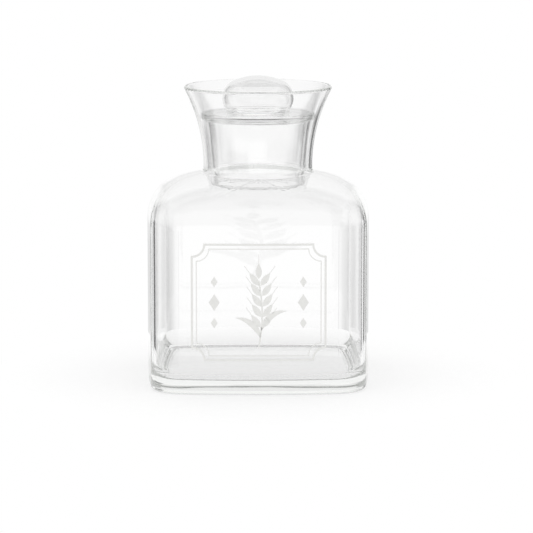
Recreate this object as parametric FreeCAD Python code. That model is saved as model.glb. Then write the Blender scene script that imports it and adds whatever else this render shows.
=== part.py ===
"""A clear glass canister: a soft-square jar with a flared neck, and a hollow stopper that sits in it.

Millimetres, +Z up. The origin is the middle of the base, on the surface that the jar stands on.
"""
import FreeCAD, Part
import math
import os

# Jar: plan of the body
body_width = 164.0
corner_radius = 24.0
side_bow_angle = 7.0

# Jar: heights, each measured from the one before it
straight_wall_height = 119.0
shoulder_rise = 34.6
neck_straight = 1.7
flare_rise = 58.7

# Jar: shoulder, neck and mouth
shoulder_slope = 10.7
shoulder_fullness = 0.72
neck_radius = 40.5
neck_root_radius = 3.0
flare_reach = 14.0

# Jar: glass thickness and base
body_wall = 3.6
neck_wall = 3.0
base_thickness = 9.0
heel_radius = 3.5
floor_radius = 12.0
foot_ring_width = 4.0
push_up_height = 1.2
push_up_run = 5.0

# Stopper: flange that rests in the flare
seat_depth = 21.6
seat_clearance = 0.25
flange_thickness = 5.0
flange_ledge = 1.3
flange_root_radius = 0.8
roof_thickness = 3.0

# Stopper: hollow plug, open at the bottom
plug_length = 47.7
plug_neck_clearance = 2.7
plug_wall = 3.0
plug_corner_radius = 3.0

# Stopper: blown knob
knob_radius = 26.4
knob_tuck = 6.2
knob_waist_rise = 10.2
knob_crown_rise = 16.2
knob_cap_rise = 2.7
knob_wall = 2.2
knob_foot_radius = 1.6


def tangent_curve(run, rise):
    """Radius of an arc that starts upright and has moved sideways by run once it has climbed by rise."""
    return (rise * rise + run * run) / (2 * run)


# Jar: values that follow from the sizes above
half_width = body_width / 2
bow = math.radians(side_bow_angle)
slope = math.radians(shoulder_slope)
root_turn = math.pi / 2 - slope
shoulder_top = straight_wall_height + shoulder_rise
flare_start = shoulder_top + neck_root_radius * math.tan(root_turn / 2) + neck_straight
mouth_height = flare_start + flare_rise
quarter_bend = math.cos(math.pi / 4)

# Jar: the arc along the middle of the flared wall, and the middle of the lip at its end
half_wall = neck_wall / 2
flare_foot = neck_radius - half_wall
lip_radius = neck_radius + flare_reach - half_wall
lip_height = mouth_height - half_wall
flare_curve = tangent_curve(lip_radius - flare_foot, lip_height - flare_start)
flare_angle = math.asin((lip_height - flare_start) / flare_curve)
flare_axis = flare_foot + flare_curve

# Stopper: the flange's round edge touches the flare but for the seat clearance
half_edge = flange_thickness / 2
seat_height = mouth_height - seat_depth
seat_reach = flare_curve + half_wall + seat_clearance + half_edge
edge_centre = flare_axis - math.sqrt(seat_reach ** 2 - (seat_height - flare_start) ** 2)
flange_top = seat_height + half_edge
flange_bottom = seat_height - half_edge
roof_bottom = flange_top - roof_thickness

# Stopper: plug and knob
plug_top_radius = edge_centre - flange_ledge
plug_end_radius = neck_radius - neck_wall - plug_neck_clearance
plug_bottom = flange_bottom - plug_length
knob_foot = knob_radius - knob_tuck
knob_shoulder_radius = knob_crown_rise - knob_cap_rise
knob_waist = flange_top + knob_waist_rise
knob_top = knob_waist + knob_crown_rise


def line(start, end):
    """A straight edge."""
    return Part.LineSegment(start, end).toShape()


def arc_through(start, middle, end):
    """An arc through three points."""
    return Part.Arc(start, middle, end).toShape()


def level(half, corner, z):
    """One level of the jar's skin: a soft square's half width, its corner radius and its height."""
    return half, corner, z


def ring(radius, z):
    """One round level of the jar's skin."""
    return level(radius, radius, z)


def inset(row, distance, z):
    """A level that lies inside another by the same distance all round."""
    return level(row[0] - distance, row[1] - distance, z)


def soft_square(half, corner):
    """Eight tangent arcs of a square with bowed sides, as (centre x, centre y, radius, start, end)."""
    lean = math.cos(bow) - math.sin(bow)
    side = (half - lean * corner) / (1 - lean)
    reach = (side - corner) * math.sin(bow)
    arcs = []
    for quarter in range(4):
        angle = quarter * math.pi / 2
        cos = math.cos(angle)
        sin = math.sin(angle)
        arcs.append(((half - side) * cos, (half - side) * sin, side, angle - bow, angle + bow))
        corner_end = angle + math.pi / 2 - bow
        arcs.append((reach * (cos - sin), reach * (sin + cos), corner, angle + bow, corner_end))
    return arcs


def arc_poles(arc, z):
    """The three control points of one arc."""
    x, y, radius, start, end = arc
    reach = radius / math.cos((end - start) / 2)
    spots = ((radius, start), (reach, (start + end) / 2), (radius, end))
    return [FreeCAD.Vector(x + r * math.cos(a), y + r * math.sin(a), z) for r, a in spots]


def blended(rows):
    """Eight patches of smooth surface between two plans, with the rows as control points of their rise."""
    degree = len(rows) - 1
    ends = (degree + 1, degree + 1)
    plans = [soft_square(half, corner) for half, corner, _ in rows]
    patches = []
    for index in range(8):
        columns = [arc_poles(plan[index], row[2]) for plan, row in zip(plans, rows)]
        poles = [[column[i] for column in columns] for i in range(3)]
        _, _, _, start, end = plans[0][index]
        weights = [[weight] * len(rows) for weight in (1.0, math.cos((end - start) / 2), 1.0)]
        surface = Part.BSplineSurface()
        surface.buildFromPolesMultsKnots(
            poles, (3, 3), ends, (0.0, 1.0), (0.0, 1.0), False, False, 2, degree, weights
        )
        patches.append(surface.toShape())
    return patches


def turned(rows, bend=1.0):
    """Eight patches, each turned about the axis of its own arc of the plan.

    Two rows give a straight profile. Three give a round whose tangents meet at the middle row, and bend is
    the cosine of half its turn.
    """
    plans = [soft_square(half, corner) for half, corner, _ in rows]
    patches = []
    for index in range(8):
        x, y, _, start, end = plans[0][index]
        radii = [plan[index][2] for plan in plans]
        aim = FreeCAD.Vector(math.cos(start), math.sin(start), 0)
        spots = [FreeCAD.Vector(x, y, row[2]) + aim * radius for radius, row in zip(radii, rows)]
        if len(spots) == 2:
            edge = line(spots[0], spots[1])
        else:
            middle = (spots[0] + spots[1] * (2 * bend) + spots[2]) * (0.5 / (1 + bend))
            edge = arc_through(spots[0], middle, spots[2])
        axis_foot = FreeCAD.Vector(x, y, 0)
        patches.append(edge.revolve(axis_foot, FreeCAD.Vector(0, 0, 1), math.degrees(end - start)))
    return patches


def outline(row):
    """The closed wire round one level."""
    half, corner, z = row
    edges = []
    for x, y, radius, start, end in soft_square(half, corner):
        circle = Part.Circle(FreeCAD.Vector(x, y, z), FreeCAD.Vector(0, 0, 1), radius)
        edges.append(Part.Arc(circle, start, end).toShape())
    return Part.Wire(edges)


def turn_rows(row, radius, z):
    """Levels of a quarter round that turns a flat at height z into an upright wall."""
    half, corner, _ = row
    return [inset(row, radius, z), level(half, corner, z), level(half, corner, z + radius)]


def shoulder_rows(wall, root):
    """Levels of the shoulder: upright off the soft-square wall, round and sloping towards the neck."""
    half, corner, start = wall
    radius, _, end = root
    run = half - radius
    crest = end - run * math.tan(slope)
    reach = shoulder_fullness * run
    return [
        wall,
        level(half, corner, start + shoulder_fullness * (crest - start)),
        ring(radius + reach, end - reach * math.tan(slope)),
        root,
    ]


def root_rows(radius, corner_height, round_radius):
    """Levels of the round between the sloping shoulder and the upright neck."""
    reach = round_radius * math.tan(root_turn / 2)
    return [
        ring(radius + reach * math.cos(slope), corner_height - reach * math.sin(slope)),
        ring(radius, corner_height),
        ring(radius, corner_height + reach),
    ]


def flare_rows(radius, curve):
    """Levels of one face of the flare, which leaves the neck upright."""
    return [
        ring(radius, flare_start),
        ring(radius, flare_start + curve * math.tan(flare_angle / 2)),
        ring(radius + curve * (1 - math.cos(flare_angle)), flare_start + curve * math.sin(flare_angle)),
    ]


def lip_rows(side):
    """Levels of half of the fire-polished lip, from edge to tip; side is 1 outside and -1 inside."""
    across = side * half_wall
    edge = (lip_radius + across * math.cos(flare_angle), lip_height - across * math.sin(flare_angle))
    ahead = (half_wall * math.sin(flare_angle), half_wall * math.cos(flare_angle))
    return [
        ring(edge[0], edge[1]),
        ring(edge[0] + ahead[0], edge[1] + ahead[1]),
        ring(lip_radius + ahead[0], lip_height + ahead[1]),
    ]


def wall_skin(turn, wall, root, flare, lip):
    """One face of the glass, from the quarter round at its foot to the tip of the lip."""
    faces = turned(turn, quarter_bend)
    faces += turned([turn[-1], wall])
    faces += blended(shoulder_rows(wall, root[0]))
    faces += turned(root, math.cos(root_turn / 2))
    faces += turned([root[-1], flare[0]])
    faces += turned(flare, math.cos(flare_angle / 2))
    faces += turned(lip, quarter_bend)
    return faces


def outer_skin():
    """The outside of the jar above its foot ring."""
    wall = level(half_width, corner_radius, straight_wall_height)
    heel = turn_rows(wall, heel_radius, 0)
    root = root_rows(neck_radius, shoulder_top, neck_root_radius)
    return wall_skin(heel, wall, root, flare_rows(neck_radius, flare_curve - half_wall), lip_rows(1))


def inner_skin():
    """The inside of the jar, with its floor."""
    wall = level(half_width - body_wall, corner_radius - body_wall, straight_wall_height)
    floor = turn_rows(wall, floor_radius, base_thickness)
    radius = neck_radius - neck_wall
    corner_height = shoulder_top + neck_wall * math.tan(slope) - body_wall / math.cos(slope)
    root = root_rows(radius, corner_height, neck_root_radius + neck_wall)
    sides = wall_skin(floor, wall, root, flare_rows(radius, flare_curve + half_wall), lip_rows(-1))
    return [Part.Face(outline(floor[0]))] + sides


def underside():
    """The foot ring that the jar stands on, and the shallow push-up inside it."""
    foot = inset(level(half_width, corner_radius, 0), heel_radius, 0)
    foot_inner = inset(foot, foot_ring_width, 0)
    foot_ring = Part.Face([outline(foot), outline(foot_inner).reversed()])
    curve = tangent_curve(push_up_height, push_up_run)
    angle = math.asin(push_up_run / curve)
    push_up = [
        foot_inner,
        inset(foot_inner, push_up_run - curve * math.tan(angle / 2), push_up_height),
        inset(foot_inner, push_up_run, push_up_height),
    ]
    return [foot_ring] + turned(push_up, math.cos(angle / 2)) + [Part.Face(outline(push_up[-1]))]


def jar_body():
    """The jar: one blown shell, sewn from its underside, outside and inside."""
    sewn = Part.makeCompound(underside() + outer_skin() + inner_skin())
    sewn.sewShape()
    solid = Part.Solid(sewn.Shells[0])
    if solid.Volume < 0:
        solid.reverse()
    return solid


def point(radius, z):
    """A point of the stopper's half section."""
    return FreeCAD.Vector(radius, 0, z)


def bowed(centre, start, end):
    """An arc about a centre, the shorter way round."""
    middle = (start + end) * 0.5 - centre
    return arc_through(start, centre + middle.normalize() * (start - centre).Length, end)


def corner_round(centre, curve, reach, flat, height, side):
    """The round between an arc and a flat: its end on the flat, its end on the arc, and its edge.

    The round's own centre lies at the given height and as far as reach from the arc's centre, on its outer
    side where side is 1 and on its inner side where side is -1.
    """
    run = math.sqrt(reach ** 2 - (height - centre.z) ** 2)
    round_centre = point(centre.x + side * run, height)
    on_flat = point(round_centre.x, flat)
    on_arc = centre + (round_centre - centre) * (curve / reach)
    return on_flat, on_arc, bowed(round_centre, on_flat, on_arc)


def crown_edges(offset):
    """The top of the knob as a round shoulder under a flatter cap, offset inwards from the outside."""
    across = knob_radius - knob_shoulder_radius
    spread = across ** 2 + knob_crown_rise ** 2 - knob_shoulder_radius ** 2
    cap = spread / (2 * knob_cap_rise)
    cap_centre = point(0, knob_top - cap)
    shoulder_centre = point(across, knob_waist)
    outward = (shoulder_centre - cap_centre).normalize()
    joint = cap_centre + outward * (cap - offset)
    return [
        bowed(shoulder_centre, point(knob_radius - offset, knob_waist), joint),
        bowed(cap_centre, joint, point(0, knob_top - offset)),
    ]


def knob_edges():
    """The hollow knob: outside with its round foot on the flange, and inside down to the throat."""
    under = tangent_curve(knob_tuck, knob_waist_rise)
    centre = point(knob_radius - under, knob_waist)
    foot_height = flange_top + knob_foot_radius
    on_flange, on_knob, foot = corner_round(
        centre, under, under + knob_foot_radius, flange_top, foot_height, 1
    )
    throat = point(knob_foot - knob_wall, flange_top)
    inner_centre = point(centre.x - knob_wall, knob_waist)
    roof_edge = point(throat.x + roof_thickness, roof_bottom)
    edges = [foot, bowed(centre, on_knob, point(knob_radius, knob_waist))]
    edges += crown_edges(0) + crown_edges(knob_wall)
    edges += [
        line(point(0, knob_top), point(0, knob_top - knob_wall)),
        bowed(inner_centre, point(knob_radius - knob_wall, knob_waist), throat),
        bowed(point(roof_edge.x, flange_top), throat, roof_edge),
    ]
    return on_flange, roof_edge, edges


def plug_edges():
    """The plug: flared outside with a round root under the flange, round rim, and inside up to the roof."""
    curve = tangent_curve(plug_top_radius - plug_end_radius, plug_length)
    centre = point(plug_end_radius + curve, plug_bottom)
    root_height = flange_bottom - flange_root_radius
    on_flange, on_plug, root = corner_round(
        centre, curve, curve - flange_root_radius, flange_bottom, root_height, -1
    )
    inside = curve + plug_wall
    corner_height = roof_bottom - plug_corner_radius
    on_roof, on_inside, corner = corner_round(
        centre, inside, inside + plug_corner_radius, roof_bottom, corner_height, -1
    )
    rim_outer = point(plug_end_radius, plug_bottom)
    rim_inner = point(plug_end_radius - plug_wall, plug_bottom)
    rim_tip = point(plug_end_radius - plug_wall / 2, plug_bottom - plug_wall / 2)
    edges = [
        root,
        bowed(centre, on_plug, rim_outer),
        arc_through(rim_outer, rim_tip, rim_inner),
        bowed(centre, rim_inner, on_inside),
        corner,
    ]
    return on_flange, on_roof, edges


def stopper_lid():
    """The stopper: one turned half section, hollow from the plug's open end up into the knob."""
    knob_on_flange, roof_edge, edges = knob_edges()
    plug_on_flange, plug_on_roof, plug = plug_edges()
    edge_top = point(edge_centre, flange_top)
    edge_bottom = point(edge_centre, flange_bottom)
    edges += plug + [
        line(knob_on_flange, edge_top),
        arc_through(edge_top, point(edge_centre + half_edge, seat_height), edge_bottom),
        line(edge_bottom, plug_on_flange),
        line(plug_on_roof, roof_edge),
    ]
    section = Part.Face(Part.Wire(Part.__sortEdges__(edges)))
    return section.revolve(FreeCAD.Vector(0, 0, 0), FreeCAD.Vector(0, 0, 1), 360)


def main():
    """Write one file for each piece."""
    os.makedirs("parts", exist_ok=True)
    for name, solid in (("jar_body", jar_body()), ("stopper_lid", stopper_lid())):
        solid.exportStep(f"parts/{name}.step")
        box = solid.optimalBoundingBox(True, False)
        print(name, "valid", solid.isValid(), "width", round(box.XLength, 2), "top", round(box.ZMax, 2))


main()
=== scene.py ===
"""Looks of the lidded glass canister: clear glass, a fired-on enamel print and a plain white studio."""
import math
import bmesh
import bpy
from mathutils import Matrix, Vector


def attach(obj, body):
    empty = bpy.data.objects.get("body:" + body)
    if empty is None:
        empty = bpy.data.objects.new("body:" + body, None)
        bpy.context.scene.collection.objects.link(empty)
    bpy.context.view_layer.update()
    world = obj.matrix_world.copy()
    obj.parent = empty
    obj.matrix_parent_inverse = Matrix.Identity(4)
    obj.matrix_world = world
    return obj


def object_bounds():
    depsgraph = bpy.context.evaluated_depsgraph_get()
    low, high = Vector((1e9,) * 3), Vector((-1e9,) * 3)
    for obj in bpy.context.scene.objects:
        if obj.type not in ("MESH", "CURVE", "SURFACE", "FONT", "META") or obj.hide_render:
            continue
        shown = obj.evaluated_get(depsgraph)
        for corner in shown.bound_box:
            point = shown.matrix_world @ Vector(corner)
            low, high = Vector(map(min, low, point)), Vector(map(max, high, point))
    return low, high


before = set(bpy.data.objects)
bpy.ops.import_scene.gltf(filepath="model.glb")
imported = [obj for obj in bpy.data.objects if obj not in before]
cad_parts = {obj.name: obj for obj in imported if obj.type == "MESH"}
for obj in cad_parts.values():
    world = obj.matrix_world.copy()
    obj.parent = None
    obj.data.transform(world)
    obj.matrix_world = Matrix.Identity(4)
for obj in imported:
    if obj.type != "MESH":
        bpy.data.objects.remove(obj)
cad_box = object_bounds()
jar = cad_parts["jar_body"]
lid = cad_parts["stopper_lid"]

MM = 0.001
WHITE = (1.0, 1.0, 1.0, 1.0)

# Camera: where it stands, how far it looks down and to the right of the object's axis, and its lens
CAMERA_DISTANCE = 2.138
CAMERA_AZIMUTH = -0.36
CAMERA_HEIGHT = 0.4237
CAMERA_TILT = 9.10
CAMERA_AIM_RIGHT = 0.169
CAMERA_LENS = 196.5
SENSOR_WIDTH = 36.0

# Bounces of light, enough for walls inside walls
LIGHT_BOUNCES = 96

# Studio, seen by glass only: a white table and backdrop, a dim room above them, a dark ceiling, and
# dark cards as (compass heading, half width, bottom, top, level); angles are in degrees
CARDS = (
    (59, 8, -18, 6, 0.14),
    (28, 11, -18, 6, 0.10),
    (79, 5, -18, -7.5, 0.74),
    (101, 5, -18, -7.5, 0.74),
    (116, 8, -18, 6, 0.82),
    (143, 13, -18, 6, 0.12),
    (22, 18, -35, -18, 0.03),
    (157, 13, -35, -18, 0.20),
    (222, 25, -18, 6, 0.45),
    (350, 15, -18, 6, 0.45),
)
SIDE_EDGE = 3
LEVEL_EDGE = 2
HORIZON = 6
ROOM_LEVEL = 0.50
BACKDROP_HEADING = 90
BACKDROP_HALF = 26
BACKDROP_TOP = 35
BACKDROP_LEVEL = 0.86
CEILING_BOTTOM = 55
CEILING_LEVEL = 0.10

# Floor: a round sheet just under the jar
FLOOR_RADIUS = 0.20
FLOOR_SEGMENTS = 128
FLOOR_GAP = 0.05 * MM
FLOOR_GLOW = 0.73
FLOOR_COLOUR = (0.31, 0.31, 0.31, 1.0)

# Glass: each noise as (scale per metre, detail), and each range as the noise values where it starts and ends
GLASS_IOR = 1.5
CAST_COLOUR = (0.84, 0.87, 0.82, 1.0)
CAST_DENSITY = 1.5
WAVE_NOISE = (24.0, 1.0)
JAR_WAVE_DEPTH = 0.10 * MM
LID_WAVE_DEPTH = 0.05 * MM
BLOOM_NOISE = (22.0, 3.0)
BLOOM_RANGE = (0.45, 0.75)
BLOOM_ROUGHNESS = 0.02
SCUFF_NOISE = (900.0, 2.0)
SCUFF_RANGE = (0.5, 0.7)
SCUFF_ROUGHNESS = 0.4
SCUFF_HEIGHT = 0.4 * MM

# Enamel: its tones, its satin roughness and its fine grain
TONE_COLOURS = ((0.74, 0.74, 0.72, 1.0), (0.84, 0.84, 0.82, 1.0))
TONE_NOISE = (350.0, 4.0)
SATIN_NOISE = (600.0, 2.0)
SATIN_RANGE = (0.3, 0.7)
SATIN_ROUGHNESS = (0.35, 0.5)
SPECK_NOISE = (1800.0, 3.0)
SPECK_DEPTH = 0.02 * MM

# Print: its place on the front of the jar, from the middle of its frame, and its thickness
PRINT_MIDDLE = 68 * MM
PRINT_WIDTH = 96 * MM
PRINT_HEIGHT = 84 * MM
PRINT_STEP = 2.5 * MM
PRINT_RAISED = 0.09 * MM
PRINT_SUNK = 0.03 * MM

# Frame of the print: each line as (inset, width), and the radius and steps of its notched corners
FRAME_LINES = ((0.0, 1.5 * MM), (3.2 * MM, 0.7 * MM))
FRAME_NOTCH = 9 * MM
NOTCH_STEPS = 6

# Ear of grain in the frame; angles are in degrees from upright, and the first row hangs a share of a
# spacing below the top
EAR_FOOT = -33 * MM
EAR_TOP = 16 * MM
EAR_SWAY = 2.5 * MM
STEM_WIDTH = 1.3 * MM
GRAIN_ROWS = 5
GRAIN_SPACING = 7.6 * MM
GRAIN_DROP = 0.6
GRAIN_LENGTH = 11.5 * MM
GRAIN_WIDTH = 4.6 * MM
GRAIN_LEAN = 36
AWN_LENGTH = 6 * MM
AWN_WIDTH = 0.45 * MM
LEAF_RISE = 10 * MM
LEAF_STAGGER = 2.5 * MM
LEAF_LENGTH = 25 * MM
LEAF_WIDTH = 4.4 * MM
LEAF_LEAN = 18
LEAF_BEND = 75

# Leaf shapes: fewest steps, how low their widest place sits, and the width of their points
TAPER_STEPS = 6
TAPER_POWER = 0.8
POINT_WIDTH = 0.15 * MM

# Diamonds at both sides of the ear: widths from the top, height over width, and steps from middle to point
DIAMOND_REACH = 32 * MM
DIAMOND_WIDTHS = (5 * MM, 8 * MM, 5 * MM)
DIAMOND_STRETCH = 1.5
DIAMOND_SPACING = 15 * MM
DIAMOND_STEPS = 3


def node(tree, kind, **settings):
    """A new shader node with its plain settings."""
    made = tree.nodes.new(kind)
    for name, value in settings.items():
        setattr(made, name, value)
    return made


def math_of(tree, operation, first, second=0.0):
    """The output of one Math node, from sockets or numbers."""
    made = node(tree, "ShaderNodeMath", operation=operation)
    for socket, value in zip(made.inputs, (first, second)):
        if isinstance(value, (int, float)):
            socket.default_value = value
        else:
            tree.links.new(value, socket)
    return made.outputs[0]


def ramp(tree, value, start, end, low=0.0, high=1.0):
    """A smooth step of a value from low at start to high at end."""
    made = node(tree, "ShaderNodeMapRange", interpolation_type="SMOOTHSTEP")
    tree.links.new(value, made.inputs["Value"])
    for name, number in (("From Min", start), ("From Max", end), ("To Min", low), ("To Max", high)):
        made.inputs[name].default_value = number
    return made.outputs["Result"]


def noise(tree, place, scale, detail):
    """A noise value over the object's own coordinates."""
    made = node(tree, "ShaderNodeTexNoise")
    made.inputs["Scale"].default_value = scale
    made.inputs["Detail"].default_value = detail
    tree.links.new(place, made.inputs["Vector"])
    return made.outputs["Fac"]


def bumped(tree, height, depth):
    """The normal of a surface that rises by a depth with a height value."""
    made = node(tree, "ShaderNodeBump")
    made.inputs["Distance"].default_value = depth
    tree.links.new(height, made.inputs["Height"])
    return made.outputs["Normal"]


def new_material(name):
    """An empty node material with its output and the object's own coordinates."""
    made = bpy.data.materials.new(name)
    made.use_nodes = True
    tree = made.node_tree
    tree.nodes.clear()
    out = node(tree, "ShaderNodeOutputMaterial")
    place = node(tree, "ShaderNodeTexCoord").outputs["Object"]
    return made, tree, out, place


def glass_roughness(tree, place):
    """A faint bloom all over, and scuffs low on the foot."""
    bloom = ramp(tree, noise(tree, place, *BLOOM_NOISE), *BLOOM_RANGE, 0.0, BLOOM_ROUGHNESS)
    scuffs = ramp(tree, noise(tree, place, *SCUFF_NOISE), *SCUFF_RANGE, 0.0, SCUFF_ROUGHNESS)
    parts = node(tree, "ShaderNodeSeparateXYZ")
    tree.links.new(place, parts.inputs[0])
    on_foot = ramp(tree, parts.outputs["Z"], 0.0, SCUFF_HEIGHT, 1.0, 0.0)
    return math_of(tree, "MAXIMUM", bloom, math_of(tree, "MULTIPLY", scuffs, on_foot))


def glass(name, wave_depth):
    """Clear soda-lime glass with faint waves from blowing and a slight green cast."""
    made, tree, out, place = new_material(name)
    shader = node(tree, "ShaderNodeBsdfPrincipled")
    shader.inputs["Base Color"].default_value = WHITE
    shader.inputs["Transmission Weight"].default_value = 1.0
    shader.inputs["IOR"].default_value = GLASS_IOR
    tree.links.new(glass_roughness(tree, place), shader.inputs["Roughness"])
    tree.links.new(bumped(tree, noise(tree, place, *WAVE_NOISE), wave_depth), shader.inputs["Normal"])
    cast = node(tree, "ShaderNodeVolumeAbsorption")
    cast.inputs["Color"].default_value = CAST_COLOUR
    cast.inputs["Density"].default_value = CAST_DENSITY
    tree.links.new(shader.outputs[0], out.inputs["Surface"])
    tree.links.new(cast.outputs[0], out.inputs["Volume"])
    return made


def enamel():
    """White enamel fired onto the glass: slightly uneven in tone, satin, with a fine grain."""
    made, tree, out, place = new_material("white_enamel")
    shader = node(tree, "ShaderNodeBsdfPrincipled")
    tone = node(tree, "ShaderNodeValToRGB")
    for stop, colour in zip(tone.color_ramp.elements, TONE_COLOURS):
        stop.color = colour
    tree.links.new(noise(tree, place, *TONE_NOISE), tone.inputs["Fac"])
    tree.links.new(tone.outputs["Color"], shader.inputs["Base Color"])
    satin = ramp(tree, noise(tree, place, *SATIN_NOISE), *SATIN_RANGE, *SATIN_ROUGHNESS)
    tree.links.new(satin, shader.inputs["Roughness"])
    tree.links.new(bumped(tree, noise(tree, place, *SPECK_NOISE), SPECK_DEPTH), shader.inputs["Normal"])
    tree.links.new(shader.outputs[0], out.inputs["Surface"])
    return made


def floor_white():
    """White floor that reads as the background and keeps a soft shadow."""
    made, tree, out, _ = new_material("floor_white")
    matt = node(tree, "ShaderNodeBsdfDiffuse")
    matt.inputs["Color"].default_value = FLOOR_COLOUR
    glow = node(tree, "ShaderNodeEmission")
    glow.inputs["Strength"].default_value = FLOOR_GLOW
    both = node(tree, "ShaderNodeAddShader")
    tree.links.new(matt.outputs[0], both.inputs[0])
    tree.links.new(glow.outputs[0], both.inputs[1])
    tree.links.new(both.outputs[0], out.inputs["Surface"])
    return made


def above(tree, height, degrees, edge):
    """1 above an angle over the horizon and 0 below it, with a soft edge."""
    low, high = (math.sin(math.radians(degrees + side * edge)) for side in (-1, 1))
    return ramp(tree, height, low, high)


def below(tree, height, degrees, edge):
    """1 below an angle over the horizon and 0 above it, with a soft edge."""
    return math_of(tree, "SUBTRACT", 1.0, above(tree, height, degrees, edge))


def toward(tree, heading, compass, half):
    """1 within a half width of a compass heading and 0 elsewhere, with a soft edge."""
    aim = node(tree, "ShaderNodeVectorMath", operation="DOT_PRODUCT")
    aim.inputs[1].default_value = (math.cos(math.radians(compass)), math.sin(math.radians(compass)), 0.0)
    tree.links.new(heading, aim.inputs[0])
    outer, inner = (math.cos(math.radians(half + side * SIDE_EDGE)) for side in (1, -1))
    return ramp(tree, aim.outputs["Value"], outer, inner)


def blend_of(tree, first, second, share):
    """First where the share is 0, second where it is 1."""
    change = math_of(tree, "MULTIPLY", math_of(tree, "SUBTRACT", second, first), share)
    return math_of(tree, "ADD", first, change)


def studio_levels(tree, heading, height):
    """How bright the studio is in each direction."""
    horizon = above(tree, height, HORIZON, SIDE_EDGE)
    seen = blend_of(tree, 1.0, ROOM_LEVEL, horizon)
    for compass, half, bottom, top, level in CARDS:
        over = above(tree, height, bottom, LEVEL_EDGE)
        inside = math_of(tree, "MULTIPLY", over, below(tree, height, top, LEVEL_EDGE))
        inside = math_of(tree, "MULTIPLY", inside, toward(tree, heading, compass, half))
        shade = math_of(tree, "MULTIPLY", seen, level)
        seen = blend_of(tree, seen, shade, inside)
    backdrop = math_of(tree, "MULTIPLY", horizon, below(tree, height, BACKDROP_TOP, SIDE_EDGE))
    backdrop = math_of(tree, "MULTIPLY", backdrop, toward(tree, heading, BACKDROP_HEADING, BACKDROP_HALF))
    seen = blend_of(tree, seen, BACKDROP_LEVEL, backdrop)
    return blend_of(tree, seen, CEILING_LEVEL, above(tree, height, CEILING_BOTTOM, SIDE_EDGE))


def studio_world():
    """White to the camera and to matt surfaces; glass sees the studio."""
    world = bpy.data.worlds.new("studio")
    bpy.context.scene.world = world
    world.use_nodes = True
    tree = world.node_tree
    tree.nodes.clear()
    way = node(tree, "ShaderNodeTexCoord").outputs["Generated"]
    parts = node(tree, "ShaderNodeSeparateXYZ")
    tree.links.new(way, parts.inputs[0])
    flat = node(tree, "ShaderNodeVectorMath", operation="MULTIPLY")
    flat.inputs[1].default_value = (1.0, 1.0, 0.0)
    tree.links.new(way, flat.inputs[0])
    heading = node(tree, "ShaderNodeVectorMath", operation="NORMALIZE")
    tree.links.new(flat.outputs[0], heading.inputs[0])
    seen = studio_levels(tree, heading.outputs[0], parts.outputs["Z"])
    path = node(tree, "ShaderNodeLightPath")
    plain = math_of(tree, "MAXIMUM", path.outputs["Is Camera Ray"], path.outputs["Is Diffuse Ray"])
    back = node(tree, "ShaderNodeBackground")
    back.inputs["Color"].default_value = WHITE
    tree.links.new(math_of(tree, "MAXIMUM", seen, plain), back.inputs["Strength"])
    out = node(tree, "ShaderNodeOutputWorld")
    tree.links.new(back.outputs[0], out.inputs["Surface"])


def add_object(name, data):
    """A new object in the scene."""
    made = bpy.data.objects.new(name, data)
    bpy.context.scene.collection.objects.link(made)
    return made


def mesh_object(name, shape, material):
    """A new object from a bmesh, which is freed."""
    mesh = bpy.data.meshes.new(name)
    shape.to_mesh(mesh)
    shape.free()
    mesh.materials.append(material)
    return add_object(name, mesh)


def floor():
    """A plain round floor under the jar."""
    shape = bmesh.new()
    bmesh.ops.create_circle(shape, cap_ends=True, segments=FLOOR_SEGMENTS, radius=FLOOR_RADIUS)
    made = mesh_object("floor", shape, floor_white())
    made.location.z = -FLOOR_GAP


def camera():
    """The photograph's viewing angle."""
    data = bpy.data.cameras.new("camera")
    data.sensor_width = SENSOR_WIDTH
    data.lens = CAMERA_LENS
    made = add_object("camera", data)
    turn = math.radians(CAMERA_AZIMUTH)
    made.location = (CAMERA_DISTANCE * math.sin(turn), -CAMERA_DISTANCE * math.cos(turn), CAMERA_HEIGHT)
    aim = math.radians(CAMERA_AZIMUTH - CAMERA_AIM_RIGHT)
    made.rotation_euler = (math.radians(90 - CAMERA_TILT), 0, aim)
    bpy.context.scene.camera = made


def dress_glass():
    """Glass on both CAD pieces."""
    for piece, name, wave_depth in ((jar, "clear_glass", JAR_WAVE_DEPTH), (lid, "lid_glass", LID_WAVE_DEPTH)):
        piece.data.materials.clear()
        piece.data.materials.append(glass(name, wave_depth))


def spaced(start, end):
    """Points from start to just before end, no further apart than the print's step."""
    count = max(1, math.ceil((end - start).length / PRINT_STEP))
    return [start.lerp(end, index / count) for index in range(count)]


def upright(lean):
    """A direction in the print's plane that leans from upright, in degrees."""
    return Vector((math.sin(math.radians(lean)), math.cos(math.radians(lean))))


def notched_outline(width, height, notch):
    """A closed rectangle whose corners are cut by quarter circles."""
    runs = []
    for turn, (across, up) in enumerate(((1, 1), (-1, 1), (-1, -1), (1, -1))):
        corner = Vector((across * width / 2, up * height / 2))
        leans = [90 * (step / NOTCH_STEPS - turn) + 180 for step in range(NOTCH_STEPS + 1)]
        runs.append([corner + notch * upright(lean) for lean in leans])
    points = []
    for run, following in zip(runs, runs[1:] + runs[:1]):
        points += run[:-1] + spaced(run[-1], following[0])
    return points


def ribbon(line, widths, closed=False):
    """Pairs of points on both sides of a line, mitred where it turns."""
    pairs = []
    last = len(line) - 1
    for index, (point, width) in enumerate(zip(line, widths)):
        before = line[index - 1] if index or closed else 2 * point - line[1]
        after = line[(index + 1) % len(line)] if index < last or closed else 2 * point - line[last - 1]
        came = (point - before).normalized().orthogonal()
        goes = (after - point).normalized().orthogonal()
        side = (came + goes) * (width / 2 / (1 + came.dot(goes)))
        pairs.append((point + side, point - side))
    return pairs


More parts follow.
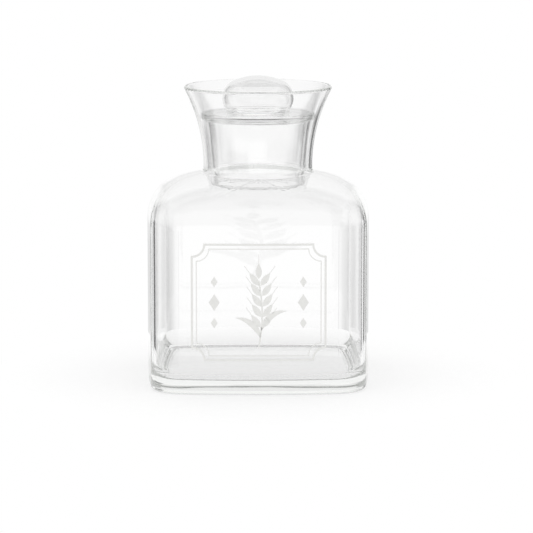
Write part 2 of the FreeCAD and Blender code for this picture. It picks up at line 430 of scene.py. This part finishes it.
def tapered(start, lean, length, width, bend=0.0):
    """A leaf shape from a start: it leaves at a lean from upright, in degrees, and bends on its way."""
    count = max(TAPER_STEPS, math.ceil(length / PRINT_STEP))
    line = [start]
    for index in range(count):
        line.append(line[-1] + length / count * upright(lean + bend * index / count))
    shares = [math.sin(math.pi * (index / count) ** TAPER_POWER) for index in range(count + 1)]
    return ribbon(line, [max(POINT_WIDTH, width * share) for share in shares])


def frame_strips():
    """The double frame with notched corners."""
    strips = []
    for inset, width in FRAME_LINES:
        outline = notched_outline(PRINT_WIDTH - 2 * inset, PRINT_HEIGHT - 2 * inset, FRAME_NOTCH)
        strips.append((ribbon(outline, [width] * len(outline), closed=True), True))
    return strips


def stem_point(height):
    """A point on the ear's gently swaying stem."""
    share = (height - EAR_FOOT) / (EAR_TOP - EAR_FOOT)
    return Vector((EAR_SWAY * math.sin(math.pi * share), height))


def grain_shapes(place, lean):
    """One grain beside the stem, and its awn."""
    away = upright(lean)
    grain_start = place + away * STEM_WIDTH
    awn_start = grain_start + away * GRAIN_LENGTH
    awn_end = awn_start + away * AWN_LENGTH
    awn = spaced(awn_start, awn_end) + [awn_end]
    return [tapered(grain_start, lean, GRAIN_LENGTH, GRAIN_WIDTH), ribbon(awn, [AWN_WIDTH] * len(awn))]


def ear_strips():
    """An ear of grain: stem, one grain at the top, grains in pairs below it, and two leaves."""
    count = math.ceil((EAR_TOP - EAR_FOOT) / PRINT_STEP)
    stem = [stem_point(EAR_FOOT + (EAR_TOP - EAR_FOOT) * index / count) for index in range(count + 1)]
    shapes = [ribbon(stem, [STEM_WIDTH] * len(stem))]
    shapes += grain_shapes(stem_point(EAR_TOP), 0)
    for row in range(GRAIN_ROWS):
        place = stem_point(EAR_TOP - (row + GRAIN_DROP) * GRAIN_SPACING)
        for side in (-1, 1):
            shapes += grain_shapes(place, side * GRAIN_LEAN)
    for side in (-1, 1):
        leaf_start = stem_point(EAR_FOOT + LEAF_RISE + side * LEAF_STAGGER)
        shapes.append(tapered(leaf_start, side * LEAF_LEAN, LEAF_LENGTH, LEAF_WIDTH, side * LEAF_BEND))
    return [(shape, False) for shape in shapes]


def diamond_strips():
    """A column of diamonds at each side of the ear."""
    strips = []
    shares = [step / DIAMOND_STEPS for step in range(-DIAMOND_STEPS, DIAMOND_STEPS + 1)]
    for side in (-1, 1):
        for row, width in enumerate(DIAMOND_WIDTHS):
            middle = Vector((side * DIAMOND_REACH, (1 - row) * DIAMOND_SPACING))
            line = [middle + Vector((0, DIAMOND_STRETCH * width / 2 * share)) for share in shares]
            widths = [max(POINT_WIDTH, width * (1 - abs(share))) for share in shares]
            strips.append((ribbon(line, widths), False))
    return strips


def on_front(point, lift):
    """The point of the jar's front that lies behind a point of the print's plane, lifted off the glass."""
    start = Vector((point.x, 2 * cad_box[0][1], PRINT_MIDDLE + point.y))
    _, hit, normal, _ = jar.ray_cast(start, Vector((0, 1, 0)))
    return hit + normal * lift


def printed(name, strips, material):
    """One piece of print: thin closed shells laid on the glass."""
    shape = bmesh.new()
    for pairs, closed in strips:
        rungs = []
        for left, right in pairs:
            corners = ((left, PRINT_RAISED), (right, PRINT_RAISED), (right, -PRINT_SUNK), (left, -PRINT_SUNK))
            rungs.append([shape.verts.new(on_front(point, lift)) for point, lift in corners])
        following = rungs[1:] + rungs[:1] if closed else rungs[1:]
        for rung, after in zip(rungs, following):
            for index in range(4):
                beside = (index + 1) % 4
                shape.faces.new((rung[index], rung[beside], after[beside], after[index]))
        if not closed:
            shape.faces.new(rungs[0])
            shape.faces.new(rungs[-1])
    bmesh.ops.recalc_face_normals(shape, faces=shape.faces)
    made = mesh_object(name, shape, material)
    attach(made, "jar")


def front_print():
    """The fired-on print: a frame, an ear of grain and diamonds."""
    white = enamel()
    printed("print_frame", frame_strips(), white)
    printed("print_ear", ear_strips(), white)
    printed("print_diamonds", diamond_strips(), white)


def look_settings():
    """Plain view transform, and many bounces for the glass."""
    scene = bpy.context.scene
    scene.view_settings.view_transform = "Standard"
    scene.cycles.max_bounces = LIGHT_BOUNCES
    scene.cycles.transmission_bounces = LIGHT_BOUNCES
    scene.cycles.glossy_bounces = LIGHT_BOUNCES


dress_glass()
front_print()
studio_world()
floor()
camera()
look_settings()
